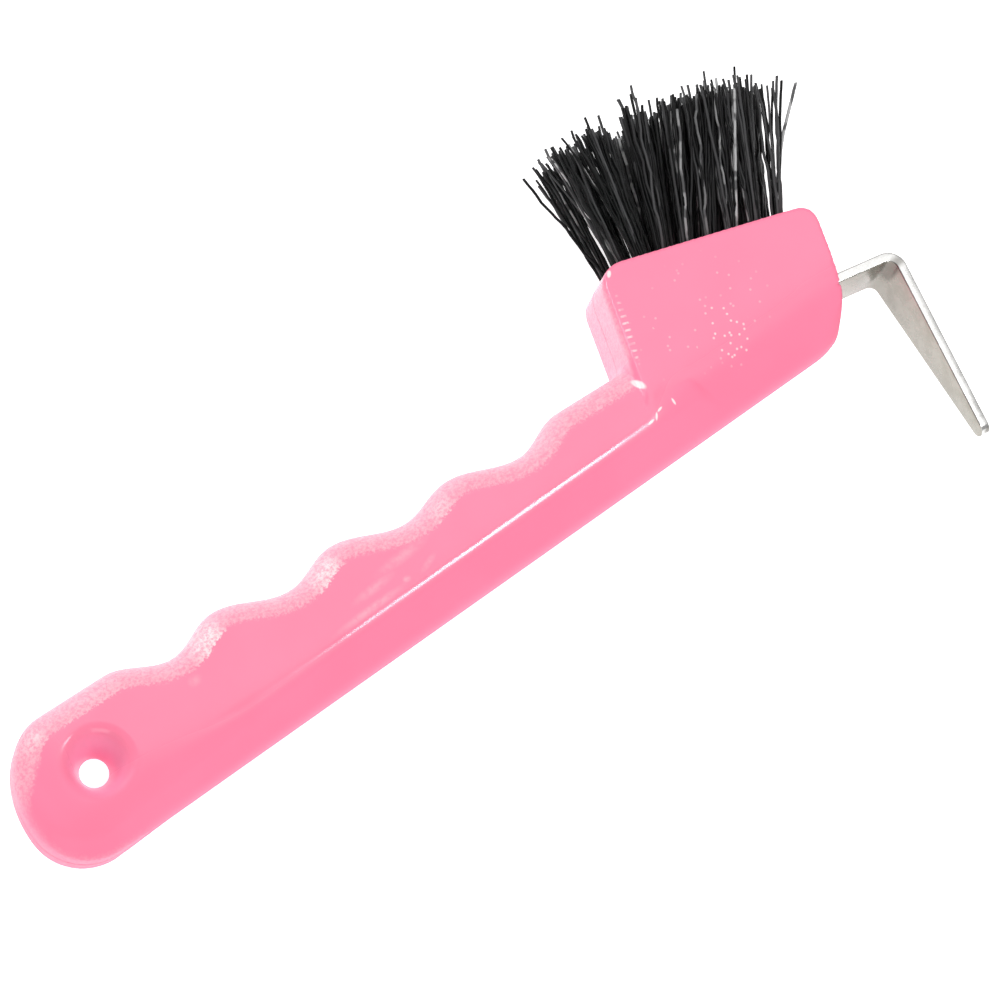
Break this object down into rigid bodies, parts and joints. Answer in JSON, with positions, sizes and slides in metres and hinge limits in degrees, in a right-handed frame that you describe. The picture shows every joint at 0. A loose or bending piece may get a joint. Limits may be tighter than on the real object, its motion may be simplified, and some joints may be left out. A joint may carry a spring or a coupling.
{
  "type": "hoof pick",
  "caption": "One-hand hoof pick: plastic grip with finger hollows and a hanging hole, bent flat steel pick and a stiff tufted brush.",
  "frame": {"origin": "middle of the bottom of the bounding box, with the tool lying on the back of its head", "axes": "+X along the grip from the butt to the pick, +Y towards the fingers and the bristles, +Z out of the front of the head"},
  "size_m": [0.2134, 0.0966, 0.019],
  "materials": {
    "pink_plastic": "glossy moulded pink plastic with fine frosted edges",
    "plated_steel": "satin nickel-plated steel with brighter sheared edges",
    "black_filament": "crimped black plastic filament with a soft gloss",
    "anchor_wire": "bright drawn flat wire"
  },
  "bodies": {
    "root": {"handle_body": "pink_plastic", "pick_blade": "plated_steel", "tuft_back_1": "black_filament", "tuft_back_2": "black_filament", "tuft_back_3": "black_filament", "tuft_back_4": "black_filament", "tuft_back_5": "black_filament", "tuft_back_6": "black_filament", "tuft_back_7": "black_filament", "tuft_back_8": "black_filament", "tuft_middle_1": "black_filament", "tuft_middle_2": "black_filament", "tuft_middle_3": "black_filament", "tuft_middle_4": "black_filament", "tuft_middle_5": "black_filament", "tuft_middle_6": "black_filament", "tuft_middle_7": "black_filament", "tuft_front_1": "black_filament", "tuft_front_2": "black_filament", "tuft_front_3": "black_filament", "tuft_front_4": "black_filament", "tuft_front_5": "black_filament", "tuft_front_6": "black_filament", "tuft_front_7": "black_filament", "tuft_front_8": "black_filament", "anchor_back_1": "anchor_wire", "anchor_back_2": "anchor_wire", "anchor_back_3": "anchor_wire", "anchor_back_4": "anchor_wire", "anchor_back_5": "anchor_wire", "anchor_back_6": "anchor_wire", "anchor_back_7": "anchor_wire", "anchor_back_8": "anchor_wire", "anchor_middle_1": "anchor_wire", "anchor_middle_2": "anchor_wire", "anchor_middle_3": "anchor_wire", "anchor_middle_4": "anchor_wire", "anchor_middle_5": "anchor_wire", "anchor_middle_6": "anchor_wire", "anchor_middle_7": "anchor_wire", "anchor_front_1": "anchor_wire", "anchor_front_2": "anchor_wire", "anchor_front_3": "anchor_wire", "anchor_front_4": "anchor_wire", "anchor_front_5": "anchor_wire", "anchor_front_6": "anchor_wire", "anchor_front_7": "anchor_wire", "anchor_front_8": "anchor_wire"}
  },
  "joints": []
}
